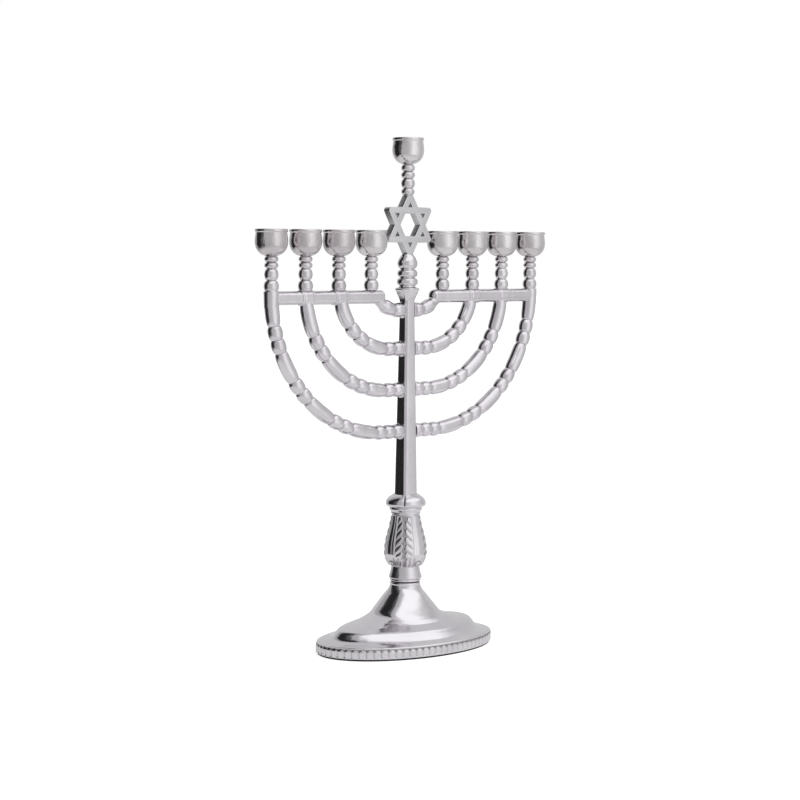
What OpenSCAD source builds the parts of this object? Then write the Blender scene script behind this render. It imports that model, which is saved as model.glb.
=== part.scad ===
// Nine-branched candelabrum: oval stepped foot, leaf knop, tapered square stem, four beaded
// branches on each side, a rail, turned spindles, candle cups and a raised centre cup on a star.

/* [Whole] */
// Height of the centre cup's rim above the table
total_h = 300; // [298:0.5:303]
// Height of the eight side cups' rims above the table
side_rim_z = 246; // [244:0.5:248]

/* [Foot] */
// Half length of the oval foot
foot_a = 60.5; // [56:0.5:66]
// Half depth of the oval foot
foot_b = 38; // [36:0.5:42]
// Height of the upright fluted band around the foot
band_h = 6.5; // [5:0.1:8]
// Height of the foot's round neck, where the branches stand
neck_z = 38.8; // [36:0.1:40]
// Radius of the foot's round neck
neck_r = 9; // [8.5:0.1:10]
// Wall thickness of the hollow foot
foot_wall = 2; // [1.6:0.1:2.6]
// Thickness of the baize pad under the foot
pad_t = 1; // [0.8:0.1:1.2]

/* [Knop] */
// Height of the leaf knop's lower end
knop_z = 48.2; // [48:0.1:49]
// Height of the leaf knop's upper end
knop_top_z = 79; // [78:0.1:80]
// Largest radius of the leaf knop
knop_r = 12.7; // [12:0.1:13.5]
// Largest radius of the cushion ring above the knop
cushion_r = 12; // [11:0.1:12.5]

/* [Stem] */
// Height of the stem's lower end
stem_z = 91; // [90:0.5:92]
// Height of the stem's upper end, under the finial
stem_top_z = 212.8; // [212:0.2:213.6]
// Width of the square stem at its lower end
stem_w_low = 10.4; // [10:0.1:11]
// Width of the square stem where its cap starts
stem_w_high = 7.2; // [6.8:0.1:7.6]
// Width of the cap on the stem
cap_w = 13.4; // [12:0.1:14]
// Leg of the chamfer along the stem's corners
stem_chamfer = 1.25; // [0.8:0.05:1.5]

/* [Branches] */
// Distance from the stem's axis to the nearest cup
first_x = 27.7; // [26:0.1:29]
// Distance from one cup to the next
cup_pitch = 24.2; // [23:0.1:25]
// Height at which each branch leaves the stem, innermost first
branch_z = [199.6, 177, 152.9, 128.4];
// Radius of each branch's bend, innermost first
bend_r = [20, 38, 60, 81];
// Radius of a bead on a branch
bead_r = 4.3; // [4:0.05:4.5]
// Radius of a branch between two beads
bead_neck_r = 3; // [2.8:0.05:3.3]
// Height of the rail's axis
rail_z = 207.4; // [206:0.1:209]
// Radius of the rail
rail_r = 3.95; // [3.7:0.05:4.1]

/* [Cups] */
// Outer radius of a candle cup
cup_r = 9.3; // [9:0.1:9.8]
// Height of a side cup
side_cup_h = 15; // [14.5:0.1:15.5]
// Height of the centre cup
centre_cup_h = 15.3; // [15:0.1:15.6]
// Radius of the round socket that holds a candle
socket_r = 5.4; // [5:0.1:5.6]
// Depth of the straight part of the socket
socket_depth = 7; // [6:0.5:7.5]

/* [Star] */
// Distance from the star's centre to its uncut points
star_r = 20.7; // [19.5:0.1:21]
// Height of the star's centre
star_z = 249.3; // [248.5:0.1:250]
// Width of the star's bars
star_bar = 3.75; // [3.4:0.05:4]
// Thickness of the star
star_t = 5; // [4.5:0.1:5.5]

/* [Fasteners] */
// Radius of the tie rod that clamps the foot to the stem
rod_r = 3; // [2.9:0.05:3.1]
// Radius of the studs and cross pins
stud_r = 1.25; // [1.2:0.05:1.3]
// Radial play of a fixed stud or rod in its hole
stud_play = 0.05; // [0.03:0.01:0.1]
// Radial play of the tie rod in the foot, where it turns
turn_play = 0.08; // [0.05:0.01:0.1]

/* [Hidden] */

$fn = 64;
gap = 0.1;                              // clearance between two faces that may turn on each other
seat_z = rail_z + rail_r;               // where a side spindle stands on its branch
side_cup_z = side_rim_z - side_cup_h;   // underside of a side cup
centre_cup_z = total_h - centre_cup_h;  // underside of the centre cup
star_half_h = 17.2;                     // the star's upper and lower points are cut this far out
finial_top_z = star_z - star_half_h;
spindle_low_z = star_z + star_half_h;   // underside of the centre spindle
seam_z = neck_z + gap + 0.6;            // underside of the neck collar, above the seam washer
ceiling_z = neck_z - 6;                 // top of the hollow inside the foot
cap_low_z = 203.5;                      // where the stem starts to flare into its cap
cap_high_z = 211.4;                     // underside of the cap's flat top
rod_low_z = 22;
rod_high_z = stem_z + 20;
cup_floor = 3;                          // thickness of a cup's floor under its socket
stud_depth = 2.4;                       // how far a stud enters a cup

function cup_x(i) = first_x + cup_pitch * (i - 1);
function stem_half(z) =
    (stem_w_low + (stem_w_high - stem_w_low) * (z - stem_z) / (cap_low_z - stem_z)) / 2;

// ---- turned shapes ----------------------------------------------------------------

// Radius of a bead at position s, for a bead [centre, half length, radius, fullness]
function bead_at(b, s, neck) =
    let (t = min(1, abs(s - b[0]) / b[1]))
    neck + (b[2] - neck) * pow(1 - pow(t, b[3]), 0.5);

// Radius of a row of beads at position s
function row_at(beads, s, neck) = max([for (b = beads) bead_at(b, s, neck)]);

// The positions at which a row of beads needs a ring
bead_steps = [-0.95, -0.7, -0.3, 0.3, 0.7, 0.95];
function row_stations(beads) = [for (b = beads) each [for (k = bead_steps) b[0] + k * b[1]]];

// A turned piece with a straight hole through it, from a list of [radius, height] points
module turned(outline, hole) {
    first = outline[0][1];
    last = outline[len(outline) - 1][1];
    rotate_extrude()
        polygon(concat([[hole, first]], outline, [[hole, last]]));
}

// ---- foot ---------------------------------------------------------------------------

// Rings of the foot from the table up: [height, half length, half depth, pinch]. The pinch narrows
// the oval towards its two ends.
foot_rings = [
    [pad_t, foot_a - 0.3, foot_b - 0.3, 0],
    [pad_t + 0.5, foot_a, foot_b, 0],
    [band_h, foot_a - 0.3, foot_b - 0.3, 0],
    [7.5, foot_a - 2, foot_b - 1.7, 0],
    [7.9, foot_a - 4.5, foot_b - 2.8, 0.05],
    [8.7, foot_a - 7.5, foot_b - 4.8, 0.12],
    [9.8, foot_a - 9.2, foot_b - 6.4, 0.16],
    [11.6, 50, 29.8, 0.2],
    [13.2, 48.8, 28.4, 0.22],
    [14.2, 47.6, 27, 0.24],
    [15.1, 45.5, 25, 0.25],
    [15.9, 42, 23.2, 0.2],
    [16.6, 37, 21.8, 0.12],
    [17.5, 32, 20.8, 0.06],
    [18.6, 28, 19.8, 0],
    [19.7, 25, 19.1, 0],
    [21.4, 22, 18.1, 0],
    [24.5, 19, 16.8, 0],
    [27.2, 16.5, 15.3, 0],
    [30, 14, 13.6, 0],
    [31.9, 12.4, 12.2, 0],
    [33.6, 10.9, 10.8, 0],
    [35.3, 9.7, 9.7, 0],
    [36.9, neck_r + 0.1, neck_r + 0.1, 0],
    [neck_z, neck_r, neck_r, 0]
];

foot_sides = 48;
pad_sides = 72;
function oval(a, b, z, sides, pinch = 0) =
    [for (i = [0 : sides - 1])
        let (t = 360 * i / sides)
        [a * cos(t), b * sin(t) * (1 - pinch * pow(cos(t), 2)), z]];

// A closed skin through a stack of rings, each with the same number of corners
module skin(rings) {
    n = len(rings[0]);
    m = len(rings);
    sides = [for (j = [0 : m - 2]) for (i = [0 : n - 1]) each [
        [j * n + i, (j + 1) * n + i, j * n + (i + 1) % n],
        [j * n + (i + 1) % n, (j + 1) * n + i, (j + 1) * n + (i + 1) % n]
    ]];
    low = [[for (i = [0 : n - 1]) i]];
    high = [[for (i = [n - 1 : -1 : 0]) (m - 1) * n + i]];
    polyhedron(points = [for (r = rings) each r], faces = concat(sides, low, high), convexity = 6);
}

module foot_shell() {
    outer = [for (r = foot_rings) oval(r[1], r[2], r[0], foot_sides, r[3])];
    last = len(foot_rings) - 6;
    under = concat(
        [oval(foot_a - foot_wall - 0.6, foot_b - foot_wall - 0.6, 0, foot_sides)],
        [for (j = [2 : 2 : last]) oval(
            foot_rings[j][1] - foot_wall, foot_rings[j][2] - foot_wall,
            foot_rings[j][0] - foot_wall + 0.3, foot_sides, foot_rings[j][3])],
        [oval(8.6, 8.6, ceiling_z, foot_sides)]
    );
    color("silver") difference() {
        skin(outer);
        skin(under);
        cylinder(r = rod_r + turn_play, h = neck_z + 5);
    }
}

module foot_pad() {
    color("black")
        linear_extrude(pad_t)
            polygon([for (p = oval(foot_a - 0.9, foot_b - 0.9, 0, pad_sides)) [p[0], p[1]]]);
}

module seam_washer() {
    color("black")
        translate([0, 0, neck_z])
            difference() {
                cylinder(r = neck_r - 0.7, h = seam_z - gap - neck_z);
                translate([0, 0, -1])
                    cylinder(r = rod_r + 0.4, h = 3);
            }
}

module tie_rod() {
    color("dimgray")
        translate([0, 0, rod_low_z])
            cylinder(r = rod_r, h = rod_high_z - rod_low_z);
}

washer_t = 1.2;
nut_t = 5;
module clamp_washer() {
    color("gray")
        translate([0, 0, ceiling_z - gap - washer_t])
            difference() {
                cylinder(r = 7.4, h = washer_t);
                translate([0, 0, -1])
                    cylinder(r = rod_r + stud_play, h = washer_t + 2);
            }
}

module clamp_nut() {
    color("gray")
        translate([0, 0, ceiling_z - gap - washer_t - nut_t])
            difference() {
                cylinder(r = 5.8, h = nut_t, $fn = 6);
                translate([0, 0, -1])
                    cylinder(r = rod_r + stud_play, h = nut_t + 2);
            }
}

// ---- knop ---------------------------------------------------------------------------

module neck_collar() {
    color("silver")
        turned([
            [8.6, seam_z], [9.1, seam_z + 0.3], [9.1, seam_z + 1.1], [8.8, seam_z + 1.4],
            [9.7, seam_z + 1.9], [9.8, seam_z + 2.4], [9.2, seam_z + 4.4], [8.6, seam_z + 6.8],
            [8.3, knop_z]
        ], rod_r + stud_play);
}

knop_belly_z = knop_z + 8;  // height of the knop's widest ring
knop_low_r = 8.6;
knop_high_r = 8.5;
// Radius of the knop's smooth body: a short round below the belly and a long slope above it
function knop_at(z) =
    z < knop_belly_z
        ? knop_low_r + (knop_r - knop_low_r) * pow(sin(90 * (z - knop_z) / (knop_belly_z - knop_z)), 0.8)
        : knop_high_r + (knop_r - knop_high_r)
            * (1 + cos(180 * pow((z - knop_belly_z) / (knop_top_z - knop_belly_z), 1.15))) / 2;

module leaf_knop() {
    steps = 14;
    rise = (knop_top_z - knop_z) / steps;
    body = [for (k = [0 : steps]) let (z = knop_z + rise * k) [knop_at(z), z]];
    fillet = [for (p = [[8.9, 0.4], [9, 2], [9.6, 3.4], [9.4, 4.4]]) [p[0], knop_top_z + p[1]]];
    color("silver")
        turned(concat(body, fillet), rod_r + stud_play);
}

module cushion_ring() {
    low = knop_top_z + 4.4;
    rise = stem_z - low;
    drop = 2.2;  // depth of the part below the widest ring
    arc = [for (a = [-60 : 20 : 80])
        [9 + (cushion_r - 9) * cos(a), low + drop + (a < 0 ? drop : rise - drop) * sin(a)]];
    color("silver")
        turned(concat([[9.4, low]], arc, [[7.6, stem_z]]), rod_r + stud_play);
}

// ---- stem ---------------------------------------------------------------------------

// A chamfered square of half width h at height z
function square_ring(h, c, z) = [
    [h, c - h, z], [h, h - c, z], [h - c, h, z], [c - h, h, z],
    [-h, h - c, z], [-h, c - h, z], [c - h, -h, z], [h - c, -h, z]
];

module stem() {
    color("silver") difference() {
        skin([
            square_ring(stem_w_low / 2, stem_chamfer, stem_z),
            square_ring(stem_w_high / 2, stem_chamfer, cap_low_z),
            square_ring(stem_w_high / 2 + 0.5, stem_chamfer + 0.1, cap_low_z + 2),
            square_ring(stem_w_high / 2 + 1.4, stem_chamfer + 0.5, cap_low_z + 4.6),
            square_ring(cap_w / 2 - 0.5, stem_chamfer + 1.6, cap_high_z - 0.8),
            square_ring(cap_w / 2, stem_chamfer + 2, cap_high_z),
            square_ring(cap_w / 2 - 0.6, stem_chamfer + 2, stem_top_z - 0.4),
            square_ring(cap_w / 2 - 1.8, stem_chamfer + 1.8, stem_top_z)
        ]);
        translate([0, 0, stem_z - 1])
            cylinder(r = rod_r + stud_play, h = rod_high_z - stem_z + 1.5);
        translate([0, 0, stem_top_z - 6])
            cylinder(r = stud_r + stud_play, h = 8);
        for (z = branch_z)
            translate([0, 0, z])
                rotate([0, 90, 0])
                    cylinder(r = stud_r + stud_play, h = 20, center = true);
    }
}

pin_half = 8;  // half length of a cross pin through the stem
module branch_pins() {
    color("dimgray")
        for (z = branch_z)
            translate([0, 0, z])
                rotate([0, 90, 0])
                    cylinder(r = stud_r, h = 2 * pin_half, center = true);
}

// ---- branches -----------------------------------------------------------------------

// How far from the stem's axis each branch runs level before it bends upwards
function level_run(i) = cup_x(i) - bend_r[i - 1];
// Angle of the bend at distance s along branch i, 0 on the level run
function bend_angle(i, s) = max(0, (s - level_run(i)) / bend_r[i - 1] * 180 / PI);
// Distance along branch i at which its centre line reaches the rail's axis
function path_length(i) =
    let (r = bend_r[i - 1])
    level_run(i) + r * acos(1 - (rail_z - branch_z[i - 1]) / r) * PI / 180;
// Point at distance s along branch i: [out, up]
function path_point(i, s) =
    let (a = bend_angle(i, s), r = bend_r[i - 1])
    [min(s, level_run(i)) + r * sin(a), branch_z[i - 1] + r * (1 - cos(a))];

root_pitch = 6.8;      // distance between the beads next to the stem
root_bead = 7.6;       // distance of the first bead from the stem's axis
pair_pitch = 7.8;      // distance between the two beads of a pair
root_count = [1, 2, 2, 3];
// Distance along each branch to the middle of each pair of beads, innermost branch first
pairs = [[], [40.4], [39.4, 74.6], [51.2, 86.9, 121.1]];

barrel_r = bead_r - 0.15;
barrel_fullness = 5;

function root_beads(i) =
    [for (k = [0 : root_count[i - 1] - 1])
        [root_bead + root_pitch * k, root_pitch / 2, bead_r, 2]];
function pair_beads(i) =
    [for (c = pairs[i - 1], side = [-1, 1])
        [c + side * pair_pitch / 2, pair_pitch / 2, bead_r, 2]];
// The long barrels fill what the beads leave
function barrel_ends(i) = concat(
    [root_bead + root_pitch * (root_count[i - 1] - 0.5)],
    [for (c = pairs[i - 1]) each [c - pair_pitch, c + pair_pitch]],
    [path_length(i) + 0.5]
);
function barrels(i) =
    let (e = barrel_ends(i))
    [for (k = [0 : 2 : len(e) - 2])
        [(e[k] + e[k + 1]) / 2, (e[k + 1] - e[k]) / 2, barrel_r, barrel_fullness]];

// The positions of a branch's rings, in order along its centre line
function sorted(list) =
    len(list) < 2
        ? list
        : let (pivot = list[floor(len(list) / 2)])
            concat(
                sorted([for (v = list) if (v < pivot) v]),
                [pivot],
                sorted([for (v = list) if (v > pivot) v])
            );

branch_sides = 10;
upright_r = bead_r + 0.05;  // radius of the upright that passes through the rail
upright_z = rail_z - rail_r - 1;
collar_w = 8.8;             // length of the round collar where branch 2 or 3 meets the rail

// A ring of radius r across branch i at distance s along it
function branch_ring(i, s, r) =
    let (p = path_point(i, s), a = bend_angle(i, s))
    [for (k = [0 : branch_sides - 1])
        let (t = 360 * k / branch_sides, q = r * cos(t))
        [p[0] - q * sin(a), -r * sin(t), p[1] + q * cos(a)]];

module branch(i) {
    start = stem_half(branch_z[i - 1]) + 0.03;
    beads = concat(root_beads(i), pair_beads(i), barrels(i));
    reach = path_length(i);
    inner = [for (s = row_stations(beads)) if (s > start + 1 && s < reach - 1) s];
    stations = concat([start], sorted(inner), [reach]);
    color("silver") difference() {
        union() {
            skin([for (s = stations) branch_ring(i, s, row_at(beads, s, bead_neck_r))]);
            if (i > 1)
                translate([cup_x(i), 0, upright_z])
                    cylinder(r = upright_r, h = seat_z - upright_z);
            if (i == 2 || i == 3)
                rail_collar(i, 0);
        }
        rotate([0, 90, 0])
            translate([-branch_z[i - 1], 0, 0])
                cylinder(r = stud_r + stud_play, h = pin_half + 0.3);
        if (i > 1)
            translate([cup_x(i), 0, rail_z])
                cylinder(r = stud_r + stud_play, h = 10);
        // a flat seat for the spindle on top of the collar
        if (i == 2 || i == 3)
            translate([cup_x(i), 0, seat_z])
                cylinder(r = collar_w, h = 3);
        if (i == 1)
            rail_body();
    }
}

// The collar on the rail's axis where branch i meets it, thickened by play
module rail_collar(i, play) {
    translate([cup_x(i), 0, rail_z])
        rotate([0, 90, 0])
            cylinder(r = upright_r + play, h = collar_w + 2 * play, center = true);
}

// The rail on the right side, from its rounded inner end to the outermost upright
rail_end_x = 18.5;
module rail_body() {
    translate([rail_end_x + rail_r * 0.5, 0, rail_z])
        rotate([0, 90, 0])
            cylinder(r = rail_r, h = cup_x(4) - rail_end_x - rail_r * 0.5);
    translate([rail_end_x, 0, rail_z])
        rotate([0, 90, 0])
            cylinder(r1 = rail_r * 0.72, r2 = rail_r, h = rail_r * 0.5);
}

// The slanted upper end of branch i, a little thicker than the branch, from s = reach - 6 to reach
module branch_end(i) {
    middle = path_length(i) - 2.85;
    p = path_point(i, middle);
    translate([p[0], 0, p[1]])
        rotate([0, 90 - bend_angle(i, middle), 0])
            cylinder(r = upright_r, h = 6.3, center = true);
}

module rail() {
    color("silver") difference() {
        rail_body();
        for (i = [2 : 4]) {
            translate([cup_x(i), 0, rail_z - 10])
                cylinder(r = upright_r + stud_play, h = 20);
            branch_end(i);
            if (i < 4)
                rail_collar(i, stud_play);
        }
        translate([cup_x(1), 0, rail_z])
            cylinder(r = stud_r + stud_play, h = 10);
    }
}

module left_rail() { mirror([1, 0, 0]) rail(); }
module right_rail() { rail(); }
module left_branch_1() { mirror([1, 0, 0]) branch(1); }
module left_branch_2() { mirror([1, 0, 0]) branch(2); }
module left_branch_3() { mirror([1, 0, 0]) branch(3); }
module left_branch_4() { mirror([1, 0, 0]) branch(4); }
module right_branch_1() { branch(1); }
module right_branch_2() { branch(2); }
module right_branch_3() { branch(3); }
module right_branch_4() { branch(4); }

// ---- spindles -----------------------------------------------------------------------

// A turned spindle between two heights, with a row of beads and a hole for its stud
module spindle(low, high, beads, neck) {
    stations = concat([low], sorted([for (s = row_stations(beads)) if (s > low && s < high) s]), [high]);
    color("silver")
        turned([for (s = stations) [row_at(beads, s, neck), s]], stud_r + stud_play);
}

spindle_neck = 2.8;
module side_spindle(i) {
    top = side_cup_z;
    translate([cup_x(i), 0, 0])
        spindle(seat_z, top, [
            [top - 1.8, 1.75, 3.95, 2], [top - 5.3, 1.75, 3.95, 2],
            [top - 10.3, 3.25, 3.95, 2], [seat_z + 2.9, 3.6, 4.25, 2.4]
        ], spindle_neck);
}

module left_spindle_1() { mirror([1, 0, 0]) side_spindle(1); }
module left_spindle_2() { mirror([1, 0, 0]) side_spindle(2); }
module left_spindle_3() { mirror([1, 0, 0]) side_spindle(3); }
module left_spindle_4() { mirror([1, 0, 0]) side_spindle(4); }
module right_spindle_1() { side_spindle(1); }
module right_spindle_2() { side_spindle(2); }
module right_spindle_3() { side_spindle(3); }
module right_spindle_4() { side_spindle(4); }

module centre_spindle() {
    top = centre_cup_z;
    spindle(spindle_low_z, top, [
        [top - 2.3, 2, 4.1, 2], [top - 6.4, 2, 4.1, 2],
        [top - 11.3, 2.9, 4.1, 2], [top - 16, 2, 3.9, 2]
    ], spindle_neck);
}

// ---- cups ---------------------------------------------------------------------------

bowl_belly = 8.5;  // height of a cup's widest ring above its underside
bowl_fullness = 2.3;
cup_foot_r = 3.8;
function bowl_at(h) =
    let (t = max(0, bowl_belly - h) / (bowl_belly + 0.4))
    cup_r * pow(1 - pow(t, bowl_fullness), 1 / bowl_fullness);

// A candle cup of height h with its underside at z = 0
module cup(h) {
    wall = [for (k = [0.8 : 1.1 : bowl_belly]) [bowl_at(k), k]];
    socket_z = cup_floor + socket_depth;
    color("silver") difference() {
        rotate_extrude()
            polygon(concat(
                [[0, 0], [cup_foot_r, 0]], wall,
                [[cup_r - 0.1, h - 5], [cup_r - 0.3, h - 2.2], [cup_r - 0.1, h - 1.5], [cup_r - 0.1, h - 0.3],
                 [cup_r - 0.5, h], [cup_r - 1.1, h], [cup_r - 1.6, h - 0.9],
                 [cup_r - 2.4, socket_z + 1.6], [socket_r, socket_z], [socket_r, cup_floor], [0, cup_floor]]
            ));
        translate([0, 0, -1])
            cylinder(r = stud_r + stud_play, h = stud_depth + 1.1);
    }
}

module side_cup(i) { translate([cup_x(i), 0, side_cup_z]) cup(side_cup_h); }
module left_cup_1() { mirror([1, 0, 0]) side_cup(1); }
module left_cup_2() { mirror([1, 0, 0]) side_cup(2); }
module left_cup_3() { mirror([1, 0, 0]) side_cup(3); }
module left_cup_4() { mirror([1, 0, 0]) side_cup(4); }
module right_cup_1() { side_cup(1); }
module right_cup_2() { side_cup(2); }
module right_cup_3() { side_cup(3); }
module right_cup_4() { side_cup(4); }
module centre_cup() { translate([0, 0, centre_cup_z]) cup(centre_cup_h); }

// Eight studs, one through each side spindle into its cup
module cup_studs() {
    color("dimgray")
        for (side = [-1, 1], i = [1 : 4])
            translate([side * cup_x(i), 0, rail_z + 0.1])
                cylinder(r = stud_r, h = side_cup_z + stud_depth - rail_z - 0.1);
}

module centre_stud() {
    color("dimgray")
        translate([0, 0, spindle_low_z + 1])
            cylinder(r = stud_r, h = centre_cup_z + stud_depth - spindle_low_z - 1);
}

// ---- finial and star ------------------------------------------------------------------

// Two rings and a teardrop between the stem's cap and the star
module finial() {
    low = stem_top_z;
    color("silver")
        turned([
            [5, low], [4.8, low + 0.9],
            [5.7, low + 1.4], [6.15, low + 2.4], [6.15, low + 3.9], [5.6, low + 5.1],
            [4.9, low + 5.7], [5.5, low + 6.3],
            [5.9, low + 7.2], [5.9, low + 8.8], [5.4, low + 10],
            [4.8, low + 10.6], [4.9, low + 11.4], [5.5, low + 12.4], [5.85, low + 13.6], [5.75, low + 14.8],
            [5.2, low + 16.4], [4.3, low + 17.8], [3.5, low + 18.6], [3.4, finial_top_z]
        ], stud_r + stud_play);
}

tip_bore = 3.6;  // how far a stud enters the star's upper or lower point
// One stud from the stem through the finial into the star, one from the star into the centre spindle
module finial_studs() {
    color("dimgray") {
        translate([0, 0, stem_top_z - 5.5])
            cylinder(r = stud_r, h = finial_top_z + tip_bore - 0.2 - stem_top_z + 5.5);
        translate([0, 0, spindle_low_z - tip_bore + 0.2])
            cylinder(r = stud_r, h = tip_bore + 0.6);
    }
}

// A triangle whose points lie r from its centre, the first one at angle a
module triangle(r, a) { polygon([for (k = [0 : 2]) r * [cos(a + 120 * k), sin(a + 120 * k)]]); }

module star_face() {
    tip = star_r - 2 * star_bar;
    base = star_r / 2;
    difference() {
        intersection() {
            union() {
                triangle(star_r, 90);
                triangle(star_r, -90);
            }
            circle(r = 18.6, $fn = 72);
            square([2 * star_r, 2 * star_half_h], center = true);
        }
        circle(r = (base - star_bar) / cos(30), $fn = 6);
        for (k = [0 : 5])
            rotate(30 + 60 * k)
                polygon([[tip, 0], [base, (tip - base) * tan(30)], [base, (base - tip) * tan(30)]]);
    }
}

module star() {
    color("silver")
        translate([0, 0, star_z])
            difference() {
                rotate([90, 0, 0])
                    linear_extrude(star_t, center = true)
                        star_face();
                for (side = [-1, 1])
                    translate([0, 0, side * (star_half_h - tip_bore / 2)])
                        cylinder(r = stud_r + stud_play, h = tip_bore + 0.01, center = true);
            }
}

foot_shell();
foot_pad();
seam_washer();
tie_rod();
clamp_washer();
clamp_nut();
neck_collar();
leaf_knop();
cushion_ring();
stem();
branch_pins();
left_branch_1();
left_branch_2();
left_branch_3();
left_branch_4();
right_branch_1();
right_branch_2();
right_branch_3();
right_branch_4();
left_rail();
right_rail();
left_spindle_1();
left_spindle_2();
left_spindle_3();
left_spindle_4();
right_spindle_1();
right_spindle_2();
right_spindle_3();
right_spindle_4();
left_cup_1();
left_cup_2();
left_cup_3();
left_cup_4();
right_cup_1();
right_cup_2();
right_cup_3();
right_cup_4();
cup_studs();
finial();
finial_studs();
star();
centre_spindle();
centre_stud();
centre_cup();
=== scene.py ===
import math

import bmesh
import bpy
import numpy as np
from mathutils import Matrix, Vector


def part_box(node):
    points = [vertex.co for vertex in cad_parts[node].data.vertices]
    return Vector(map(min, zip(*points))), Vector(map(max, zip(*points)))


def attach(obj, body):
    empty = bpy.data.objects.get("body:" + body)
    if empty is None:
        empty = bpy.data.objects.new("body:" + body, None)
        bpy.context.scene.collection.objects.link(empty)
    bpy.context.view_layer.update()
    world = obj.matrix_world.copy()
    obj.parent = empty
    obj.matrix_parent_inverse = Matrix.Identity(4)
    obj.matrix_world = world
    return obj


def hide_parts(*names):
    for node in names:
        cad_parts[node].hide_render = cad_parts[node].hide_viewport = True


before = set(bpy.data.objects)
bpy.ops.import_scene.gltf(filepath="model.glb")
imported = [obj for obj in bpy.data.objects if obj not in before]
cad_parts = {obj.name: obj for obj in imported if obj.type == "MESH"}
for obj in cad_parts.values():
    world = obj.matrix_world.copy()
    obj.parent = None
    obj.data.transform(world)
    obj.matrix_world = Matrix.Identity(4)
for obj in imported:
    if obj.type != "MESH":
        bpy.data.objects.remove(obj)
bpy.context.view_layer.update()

# A nine-branched candelabrum in bright plate. Shapes are worked out in millimetres, in the frame's
# axes: Z up, X along the row of cups, -Y towards the viewer. Everything is put at 1/1000 in the scene.
MM = 0.001
FOOT = "foot"
TOP = "candelabrum"
SIDES = ("left", "right")
PLACES = (1, 2, 3, 4)    # cups on a side, innermost first


# ---- what the frame says -------------------------------------------------------------------------

def node_box(node):
    """Lowest and highest corner of a CAD node, in millimetres."""
    low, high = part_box(node)
    return np.array(low) / MM, np.array(high) / MM


def node_x(node):
    low, high = node_box(node)
    return (low[0] + high[0]) / 2


def node_z(node):
    low, high = node_box(node)
    return low[2], high[2]


# ---- meshes --------------------------------------------------------------------------------------

def mesh_object(name, points, faces, sharp_angle=38):
    """A smooth-shaded mesh object from points in millimetres; edges over the angle stay sharp."""
    mesh = bpy.data.meshes.new(name)
    mesh.from_pydata((np.asarray(points, float) * MM).tolist(), [], faces)
    mesh.validate()
    obj = bpy.data.objects.new(name, mesh)
    bpy.context.scene.collection.objects.link(obj)
    tidy = bmesh.new()
    tidy.from_mesh(mesh)
    bmesh.ops.remove_doubles(tidy, verts=tidy.verts, dist=1e-7)
    bmesh.ops.recalc_face_normals(tidy, faces=tidy.faces)
    tidy.to_mesh(mesh)
    tidy.free()
    mesh.polygons.foreach_set("use_smooth", [True] * len(mesh.polygons))
    mesh.set_sharp_from_angle(angle=math.radians(sharp_angle))
    return obj


def ring_faces(rings, sides, closed):
    """Faces between rings of points; closed joins the last ring to the first, else both ends are capped."""
    faces = []
    last = rings if closed else rings - 1
    for j in range(last):
        a, b = j * sides, ((j + 1) % rings) * sides
        for i in range(sides):
            k = (i + 1) % sides
            faces.append((a + i, a + k, b + k, b + i))
    if not closed:
        faces.append(tuple(range(sides - 1, -1, -1)))
        faces.append(tuple((rings - 1) * sides + i for i in range(sides)))
    return faces


def tube(name, rings, closed=False, sharp_angle=38):
    """A mesh through an array of rings: [ring, corner, xyz]."""
    rings = np.asarray(rings, float)
    count, sides = rings.shape[:2]
    return mesh_object(name, rings.reshape(-1, 3), ring_faces(count, sides, closed), sharp_angle)


def angles(sides):
    return np.arange(sides) * (2 * math.pi / sides)


def lathe(name, outline, hole=None, x=0.0, sides=96, sharp_angle=38):
    """A turned piece on the upright axis at x. outline runs from its lower to its upper end, as
    (radius, height); hole is the radius of a straight hole right through."""
    outline = [tuple(p) for p in outline]
    if hole is None:
        outline = [(0.002, outline[0][1])] + outline + [(0.002, outline[-1][1])]
    else:
        outline = outline + [(hole, outline[-1][1]), (hole, outline[0][1])]
    t = angles(sides)
    rings = np.array([np.stack([x + r * np.cos(t), r * np.sin(t), np.full(sides, z)], 1) for r, z in outline])
    return tube(name, rings, closed=hole is not None, sharp_angle=sharp_angle)


def curve_through(points, per_span=8):
    """A smooth curve through points of any dimension (Catmull-Rom)."""
    p = np.asarray(points, float)
    p = np.vstack([2 * p[0] - p[1], p, 2 * p[-1] - p[-2]])
    out = []
    for i in range(1, len(p) - 2):
        for t in np.arange(per_span) / per_span:
            a = 2 * p[i]
            b = p[i + 1] - p[i - 1]
            c = 2 * p[i - 1] - 5 * p[i] + 4 * p[i + 1] - p[i + 2]
            d = 3 * p[i] - 3 * p[i + 1] + p[i + 2] - p[i - 1]
            out.append((a + b * t + c * t * t + d * t ** 3) / 2)
    out.append(p[-2])
    return np.array(out)


def smooth_step(low, high, value):
    t = np.clip((np.asarray(value, float) - low) / (high - low), 0, 1)
    return t * t * (3 - 2 * t)


# ---- rows of beads -------------------------------------------------------------------------------

def bead_radius(beads, s, neck):
    """Radius at position s of a row of beads, each (centre, half length, radius, fullness)."""
    s = np.asarray(s, float)
    radius = np.full(s.shape, float(neck))
    for centre, half, top, fullness in beads:
        t = np.clip(np.abs(s - centre) / half, 0, 1)
        radius = np.maximum(radius, neck + (top - neck) * np.sqrt(1 - t ** fullness))
    return radius


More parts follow.
